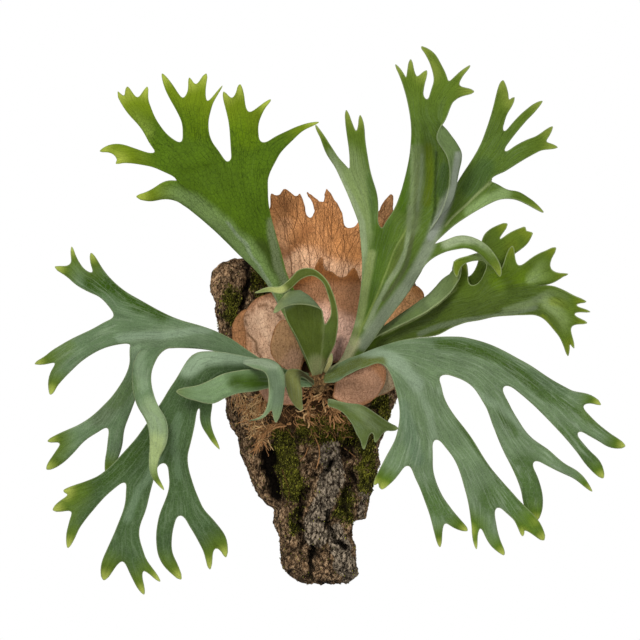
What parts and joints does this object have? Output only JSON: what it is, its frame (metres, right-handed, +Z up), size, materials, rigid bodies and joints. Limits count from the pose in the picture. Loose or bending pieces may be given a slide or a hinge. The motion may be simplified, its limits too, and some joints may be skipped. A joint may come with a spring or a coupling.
{
  "type": "mounted staghorn fern",
  "caption": "Staghorn fern with forked antler fronds and dry papery shield fronds, rooted on a slab of rough bark that hangs flat on a wall.",
  "frame": {"origin": "on the flat back of the bark slab, straight behind the growing point of the fern", "axes": "+Z up, +Y into the wall along the back face's outward normal, +X to the right as seen from the room"},
  "size_m": [0.5871, 0.1837, 0.545],
  "materials": {
    "bark_brown": "rough natural bark",
    "root_brown": "fibrous root and moss mass",
    "crown_brown": "rough natural bark",
    "fan_green": "matt waxy frond",
    "tall_green": "matt waxy frond",
    "fold_green": "matt waxy frond",
    "droop_green": "matt waxy frond",
    "spread_green": "matt waxy frond",
    "low_green": "matt waxy frond",
    "strap_green": "matt waxy frond",
    "young_green": "matt waxy frond",
    "bud_green": "matt waxy frond",
    "leaf_green": "matt waxy frond",
    "small_green": "matt waxy frond",
    "shield_orange": "dry papery shield frond",
    "shield_brown": "dry papery shield frond",
    "shield_tan": "dry papery shield frond",
    "shield_rear": "dry papery shield frond",
    "shield_olive": "dry papery shield frond",
    "shield_low": "dry papery shield frond",
    "shield_side": "dry papery shield frond",
    "shield_pink": "dry papery shield frond",
    "shield_rim": "dry papery shield frond",
    "hanger_steel": "plain zinc-plated steel",
    "screw_steel": "plain zinc-plated steel"
  },
  "bodies": {
    "root": {"bark_slab": "bark_brown", "root_ball": "root_brown", "crown_rhizome": "crown_brown", "frond_fan": "fan_green", "frond_tall": "tall_green", "frond_folded": "fold_green", "frond_droop_right": "droop_green", "frond_spread_left": "spread_green", "frond_droop_left": "low_green", "frond_strap": "strap_green", "frond_young": "young_green", "frond_bud": "bud_green", "frond_low_leaf": "leaf_green", "frond_small": "small_green", "shield_back": "shield_orange", "shield_middle": "shield_brown", "shield_left": "shield_tan", "shield_left_rear": "shield_rear", "shield_oval": "shield_olive", "shield_low_left": "shield_low", "shield_right": "shield_side", "shield_low_right": "shield_pink", "shield_low_rear": "shield_rim", "hanger_plate": "hanger_steel", "hanger_screw_left": "screw_steel", "hanger_screw_right": "screw_steel"}
  },
  "joints": []
}
